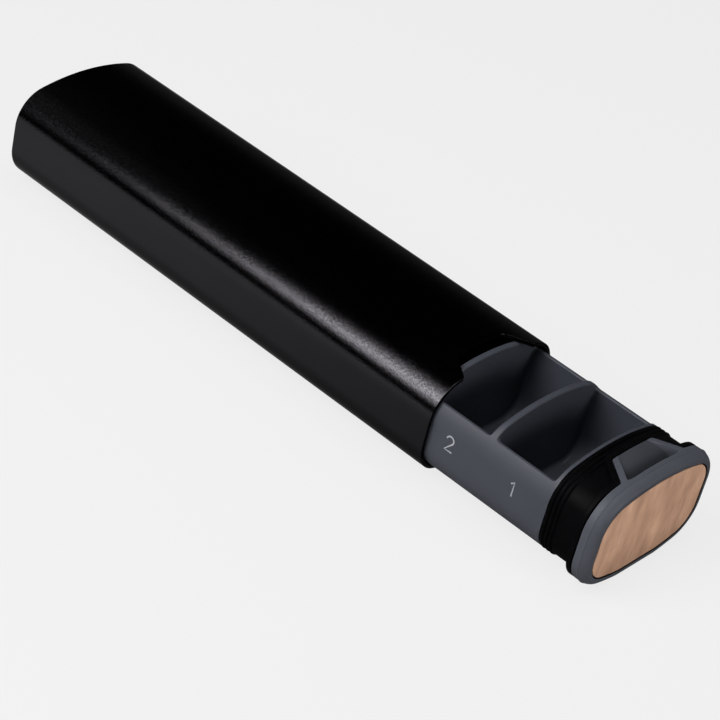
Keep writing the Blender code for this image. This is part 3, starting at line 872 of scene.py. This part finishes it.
scoopShape = {
    "rim": 1.75 * mm,
    "backDepth": 0.12 * mm,
    "evenFall": 1.2 * mm,        # the part of its depth that grows evenly towards the front
    "steepFall": 2.6 * mm,        # and the part that grows with the third power
    "reach": 0.85 * mm,        # how far the scoop runs into the cap past its tongue
    "frontWall": 0.8 * mm,
    "sideWall": 0.35 * mm,
    "sideLean": 0.6,        # the deeper the side walls, the wider they lean
    "evenShade": 0.45,        # share of its painted shade that doesn't deepen with its depth
}


def scoopDepth(x, y):        # depth, and how far inside the rims, 0 to 1
    shape = scoopShape
    flare = partingShape["flare"]
    rim = shape["rim"] / math.cos(flare)
    frontX = capRearX + shape["reach"]
    share = np.clip((x - tongueBackX) / (frontX - tongueBackX), 0, 1)
    depth = shape["backDepth"] + shape["evenFall"] * share + shape["steepFall"] * share ** 3
    half = partingShape["halfWidth"] - rim + math.tan(flare) * (x - tongueBackX)
    fromSide = (half - np.abs(y)) * math.cos(flare)
    sideShare = np.clip(fromSide / (shape["sideWall"] + shape["sideLean"] * depth), 0, 1)
    frontShare = np.clip((frontX - x) / shape["frontWall"], 0, 1)
    short = np.clip(np.hypot(1 - sideShare, 1 - frontShare), 0, 1)
    inside = 1 - short * short
    return depth * inside, inside


def makeCap():
    shape = capShape
    under = shape["underInset"]
    inlayInset = (bodyWidth - (inlayHigh.y - inlayLow.y)) / 2
    pocketInset = inlayInset - shape["pocketGap"]
    pocketX = inlayLow.x - shape["pocketFloor"]
    frontX = capHigh.x
    line = partingShift(0, capRearX, partingShape["rootRound"])
    edge = rounding(shape["backEdge"], shape["roundSteps"])
    profile = [(capRearX, under, 0), (capRearX, under, 1)]
    profile += [(capRearX + along, inwards, 1) for along, inwards in edge]
    firstX = capRearX + shape["backEdge"]
    roundX = frontX - shape["frontReach"]
    lastX = roundX - shape["creaseWidth"]
    shares = np.linspace(0, 1, shape["topRows"])
    profile += [(firstX + (lastX - firstX) * share, 0, 1 - share) for share in shares[1:]]
    profile += [(roundX - share * shape["creaseWidth"], -shape["creaseRise"] * rise, 0)
                for share, rise in shape["creaseRows"]]
    turn = shape["frontTurn"]
    profile += [(roundX + shape["frontReach"] * (math.sin(a) - math.sin(turn)) / (1 - math.sin(turn)),
                 shape["frontDrop"] * (1 - math.cos(a) / math.cos(turn)), 0)
                for a in np.linspace(turn, math.pi / 2, shape["frontSteps"] + 1)]
    lip = rounding(shape["pocketEdge"], shape["roundSteps"])
    # the pocket's lip and wall round the inlay carry painted shade, full at the wall, for a dark gap
    # line
    profile += [(frontX - inwards, pocketInset - along, 0, 0, inwards / shape["pocketEdge"])
                for along, inwards in reversed(lip)]
    profile += [(pocketX, pocketInset, 0, 0, 1)]
    mesh = wrap("capShell", profile, finishes["cap"], frontLine=line)
    places = np.zeros(len(mesh.vertices) * 3)
    hollow = np.zeros(len(mesh.vertices))
    mesh.vertices.foreach_get("co", places)
    mesh.attributes["hollow"].data.foreach_get("value", hollow)
    places = places.reshape(-1, 3)
    crown = crownCentreZ + np.sqrt(crownRadius ** 2 - np.clip(places[:, 1], -cornerArm, cornerArm) ** 2)
    onTop = places[:, 2] > crown - shape["backEdge"] * shape["topReach"]
    depth, inside = (onTop * values for values in scoopDepth(places[:, 0], places[:, 1]))
    # the raised line ends where the cap rests
    places[:, 2] = np.maximum(places[:, 2] - depth, capLow.z)
    # painted shade in the scoop: an even share all inside its rims, and more the deeper it lies
    even = scoopShape["evenShade"]
    hollow += inside * (even + (1 - even) * depth / (scoopShape["evenFall"] + scoopShape["steepFall"]))
    mesh.vertices.foreach_set("co", places.ravel())
    mesh.attributes["hollow"].data.foreach_set("value", hollow)
    finishPiece("capShell", mesh, "tray_body", "front_cap")


# wooden inlay in the cap's face

inlayShape = {
    "edgeRound": 0.22 * mm,
    "roundSteps": 4,
    "shrink": 0.25 * mm,        # for a gap that shows
}


def makeInlay():
    inset = (bodyWidth - (inlayHigh.y - inlayLow.y)) / 2 + inlayShape["shrink"]
    edge = rounding(inlayShape["edgeRound"], inlayShape["roundSteps"])
    profile = [(inlayLow.x, inset)]
    profile += [(inlayHigh.x - along, inset + inwards) for along, inwards in reversed(edge)]
    mesh = wrap("woodInlay", profile, finishes["wood"])
    finishPiece("woodInlay", mesh, "tray_body", "wood_inlay")


makeCap()
makeInlay()
print("cap and inlay made")


# tray, with seven compartments

trayShape = {
    "count": 7,
    "divider": 1.8 * mm,
    "rearWall": 1.6 * mm,
    "frontWall": 1.05 * mm,
    "wallTop": 1.0 * mm,        # thickness of the side walls at their tops
    "wallDrop": 5.3 * mm,        # how far the side walls stay below the crown
    "floor": 1.5 * mm,
    "floorRound": 7.8 * mm,
    "endRound": 1.2 * mm,
    "shoulderRise": 0.8 * mm,
    "dividerEdge": 0.6 * mm,
    "frontEdge": 0.4 * mm,
    "wallEdge": 0.4 * mm,
    "seamDrop": 3,        # how many wall edges the seam lies below the side walls' tops
    "pointDigits": 4,        # points that agree to this many digits of a millimetre are one
    "rearRound": 0.5 * mm,
    "neckStep": 2.1 * mm,
    "neckWall": 1.6 * mm,
    "neckFloor": 1.9 * mm,
    "cornerSteps": 14,
    "bellySteps": 8,
    "seamSteps": 6,
    "domeSteps": 12,
    "crownSteps": 26,
    "wallEdgeSteps": 5,
    "edgeSteps": 5,
    "filletSteps": 8,
}


def makeTray():
    shape = trayShape
    inset = (bodyWidth - (trayHigh.y - trayLow.y)) / 2
    shellRadius = cornerRadius - inset
    wallHeight = bodyHeight - inset - shape["wallDrop"]
    topAngle = math.asin((wallHeight - upperCornerZ) / shellRadius)
    halfCavity = cornerArm + shellRadius * math.cos(topAngle) - shape["wallTop"]
    floorZ = inset + shape["floor"]
    seamZ = wallHeight - shape["seamDrop"] * shape["wallEdge"]
    seamAngle = math.asin((seamZ - upperCornerZ) / shellRadius)
    shoulderAngle = math.asin((wallHeight + shape["shoulderRise"] - upperCornerZ) / shellRadius)
    # gives a cavity as many points as a dome
    floorSteps = shape["crownSteps"] + shape["domeSteps"] - shape["wallEdgeSteps"] - 3
    rearX = trayLow.x
    frontX = sleeveLow.x - sleeveGap
    firstX = rearX + shape["rearWall"]
    pitch = (frontX - shape["frontWall"] + shape["divider"] - firstX) / shape["count"]
    mirror = np.array((-1, 1))

    def bothSides(half):        # from left to right over the middle point, which ends the half
        return np.vstack((half * mirror, half[-2::-1]))

    def shell(shrink=0.0):        # right seam, round the bottom, left seam
        radius = crownRadius - inset - shrink
        start = -math.acos(math.sqrt(radius ** 2 - (bellyCentreZ - inset - shrink) ** 2) / radius)
        corner = shellRadius - shrink
        half = np.vstack((
            arc(0, bellyCentreZ, radius, start, -cornerSweep, shape["bellySteps"]),
            arc(cornerArm, lowerCornerZ, corner, -cornerSweep, 0, shape["cornerSteps"])[1:],
            arc(cornerArm, upperCornerZ, corner, 0, seamAngle, shape["seamSteps"]),
        ))
        return np.vstack((half[::-1], half * mirror))

    def dome(shrink=0.0, shoulderShare=0.0):        # left shoulder over the crown to the right one
        shares = np.linspace(0, 1, shape["domeSteps"] + 1)
        angles = shoulderAngle + (cornerSweep - shoulderAngle) * shares
        radii = shellRadius - shrink * (shoulderShare + (1 - shoulderShare) * shares)
        half = np.column_stack((cornerArm + radii * np.cos(angles),
                                upperCornerZ + radii * np.sin(angles)))
        crown = arc(0, crownCentreZ, crownRadius - inset - shrink, cornerSweep, math.pi / 2,
                    shape["crownSteps"])
        return bothSides(np.vstack((half, crown[1:])))

    def cavity(shrink=0.0):        # walls and floor of a compartment, from shoulder to shoulder
        top = wallHeight + shape["shoulderRise"] * shrink / shape["endRound"]
        inner = halfCavity - shrink
        radius = shape["floorRound"] - shrink
        edge = shape["wallEdge"]
        outside = cornerArm + math.sqrt(shellRadius ** 2 - (top - upperCornerZ) ** 2)
        half = np.vstack((
            ((outside, top),),
            arc(inner + edge, top - edge, edge, math.pi / 2, math.pi, shape["wallEdgeSteps"]),
            arc(inner - radius, floorZ + shape["floorRound"], radius, 0, -math.pi / 2, floorSteps),
            ((0, floorZ + shrink),),
        ))
        return bothSides(half)

    verts, faces, places = [], [], {}

    def addRow(x, points):
        numbers = []
        for y, z in points:
            key = tuple(round(part / mm, shape["pointDigits"]) for part in (x, y, z))
            if key not in places:
                places[key] = len(verts)
                verts.append((x, y, z))
            numbers.append(places[key])
        return numbers

    def bridge(first, second, looped):
        for p in range(len(first) if looped else len(first) - 1):
            q = (p + 1) % len(first)
            corners = tuple(dict.fromkeys((first[p], first[q], second[q], second[p])))
            if len(corners) > 2:
                faces.append(corners)

    def bridgeRings(rings):
        numbers = [addRow(x, points) for x, points in rings]
        for first, second in zip(numbers, numbers[1:]):
            bridge(first, second, True)
        return numbers

    def ring(shrink=0.0):
        return np.vstack((shell(shrink), dome(shrink, 1.0)))

    rear = bridgeRings([(rearX + inwards, ring(along))
                        for along, inwards in rounding(shape["rearRound"], shape["edgeSteps"])][::-1])
    faces.append(tuple(rear[0]))
    pocket = shape["neckStep"] + shape["neckWall"]
    front = bridgeRings([(frontX, ring()), (frontX, ring(shape["neckStep"])),
                         (trayHigh.x, ring(shape["neckStep"])), (trayHigh.x, ring(pocket)),
                         (frontX + shape["neckFloor"], ring(pocket))])
    faces.append(tuple(front[-1]))

    edge = rounding(shape["dividerEdge"], shape["edgeSteps"])
    fillet = rounding(shape["endRound"], shape["filletSteps"])
    rows = [(rearX + shape["rearRound"], dome())]
    for number in range(shape["count"]):
        start = firstX + number * pitch
        end = start + pitch - shape["divider"]
        rows += [(start - along, dome(inwards)) for along, inwards in reversed(edge)]
        rows += [(start + along, cavity(inwards)) for along, inwards in fillet]
        rows += [(end - along, cavity(inwards)) for along, inwards in reversed(fillet)]
        if number == shape["count"] - 1:
            edge = rounding(shape["frontEdge"], shape["edgeSteps"])
        rows += [(end + along, dome(inwards)) for along, inwards in edge]
    rows.append((frontX, dome()))
    shellCount = len(shell())
    rearShell, frontShell = rear[-1][:shellCount], front[0][:shellCount]
    left, right = shell()[-1], shell()[0]
    upper = [addRow(x, np.vstack((left, points, right))) for x, points in rows]
    for first, second in zip(upper, upper[1:]):
        bridge(first, second, False)
    bridge(rearShell[1:-1], frontShell[1:-1], False)
    leftSeam = dict.fromkeys(numbers[0] for numbers in upper)
    rightSeam = dict.fromkeys(numbers[-1] for numbers in upper)
    faces.append((*rightSeam, frontShell[1], rearShell[1]))
    faces.append((*leftSeam, frontShell[-2], rearShell[-2]))
    mesh = bpy.data.meshes.new("trayShell")
    mesh.from_pydata(verts, [], faces)
    mesh.materials.append(finishes["tray"])
    finishPiece("trayShell", mesh, "tray_body", "tray")
    middle = (pitch - shape["divider"]) / 2
    return [firstX + number * pitch + middle for number in range(shape["count"])]


compartmentMiddles = makeTray()
print("tray made")


# plain numbers on the tray's near side, the front compartment being 1

numberShape = {
    "height": 4.4 * mm,
    "middleZ": 17.0 * mm,
    "cellMiddle": (0.3, 0.5),
    "stroke": 0.44 * mm,
    "raise": 0.03 * mm,
    "sides": 8,
}


def bend(centreX, centreZ, radiusX, radiusZ, start, end, steps=14):
    angles = np.radians(np.linspace(start, end, steps + 1))
    return [(centreX + radiusX * math.cos(a), centreZ + radiusZ * math.sin(a)) for a in angles]


digitStrokes = {        # on a cell 0.6 wide and 1 high
    1: [[(0.12, 0.80), (0.34, 1.0), (0.34, 0.0)]],
    2: [bend(0.30, 0.73, 0.27, 0.27, 170, -35) + [(0.03, 0.0), (0.60, 0.0)]],
    3: [bend(0.28, 0.765, 0.25, 0.235, 155, -90) + bend(0.28, 0.265, 0.29, 0.265, 90, -155)],
    4: [[(0.44, 0.0), (0.44, 1.0), (0.0, 0.30), (0.62, 0.30)]],
    5: [[(0.54, 1.0), (0.12, 1.0), (0.07, 0.56)] + bend(0.28, 0.31, 0.29, 0.31, 125, -150)],
    6: [bend(0.62, 0.42, 0.60, 0.58, 100, 190, 10) + bend(0.30, 0.30, 0.285, 0.30, 180, 540, 24)],
    7: [[(0.02, 1.0), (0.58, 1.0), (0.20, 0.0)]],
}


def makeStrokeTree():
    tree, given = startTree("inkStrokes", {
        "Lines": "Geometry", "Stroke Radius": "Float", "Flatten": "Float", "Sides": "Int",
        "Finish": "Material"}, "Numbers")
    nib = addNode(tree, "GeometryNodeCurvePrimitiveCircle")
    wire(tree, given, "Sides", nib, "Resolution")
    wire(tree, given, "Stroke Radius", nib, "Radius")
    draw = addNode(tree, "GeometryNodeCurveToMesh", {"Fill Caps": True})
    wire(tree, given, "Lines", draw, "Curve")
    wire(tree, nib, 0, draw, "Profile Curve")
    thin = addNode(tree, "ShaderNodeCombineXYZ", {"X": 1, "Z": 1})
    wire(tree, given, "Flatten", thin, "Y")
    press = addNode(tree, "GeometryNodeTransform")
    wire(tree, draw, 0, press, "Geometry")
    wire(tree, thin, 0, press, "Scale")
    return endTree(tree, given, press)


def makeNumbers():
    shape = numberShape
    height = shape["height"]
    cellX, cellZ = shape["cellMiddle"]
    lines = bpy.data.curves.new("numberLines", "CURVE")
    lines.dimensions = "3D"
    for number, middleX in zip(digitStrokes, reversed(compartmentMiddles)):
        for stroke in digitStrokes[number]:
            spline = lines.splines.new("POLY")
            spline.points.add(len(stroke) - 1)
            for point, (x, z) in zip(spline.points, stroke):
                point.co = (middleX + (x - cellX) * height, 0,
                            shape["middleZ"] + (z - cellZ) * height, 1)
    holder = addObject("numberLines", lines)
    ink = holder.modifiers.new("ink", "NODES")
    ink.node_group = makeStrokeTree()
    setInputs(ink, {"Stroke Radius": shape["stroke"] / 2, "Sides": shape["sides"],
                    "Flatten": 2 * shape["raise"] / shape["stroke"], "Finish": finishes["ink"]})
    mesh = takeMesh(holder, "printedNumbers")
    bpy.data.objects.remove(holder)
    bpy.data.curves.remove(lines)
    mesh.transform(Matrix.Translation((0, trayLow.y, 0)))
    finishPiece("printedNumbers", mesh, "tray_body", None)


makeNumbers()
print("numbers printed")


# solids that stay hidden behind the inlay

def repaint(node, finish):
    mesh = cadNodes[node].data
    mesh.materials.clear()
    mesh.materials.append(finish)


repaint("inlay_adhesive", finishes["adhesive"])
repaint("cap_screw_left", finishes["steel"])
repaint("cap_screw_right", finishes["steel"])
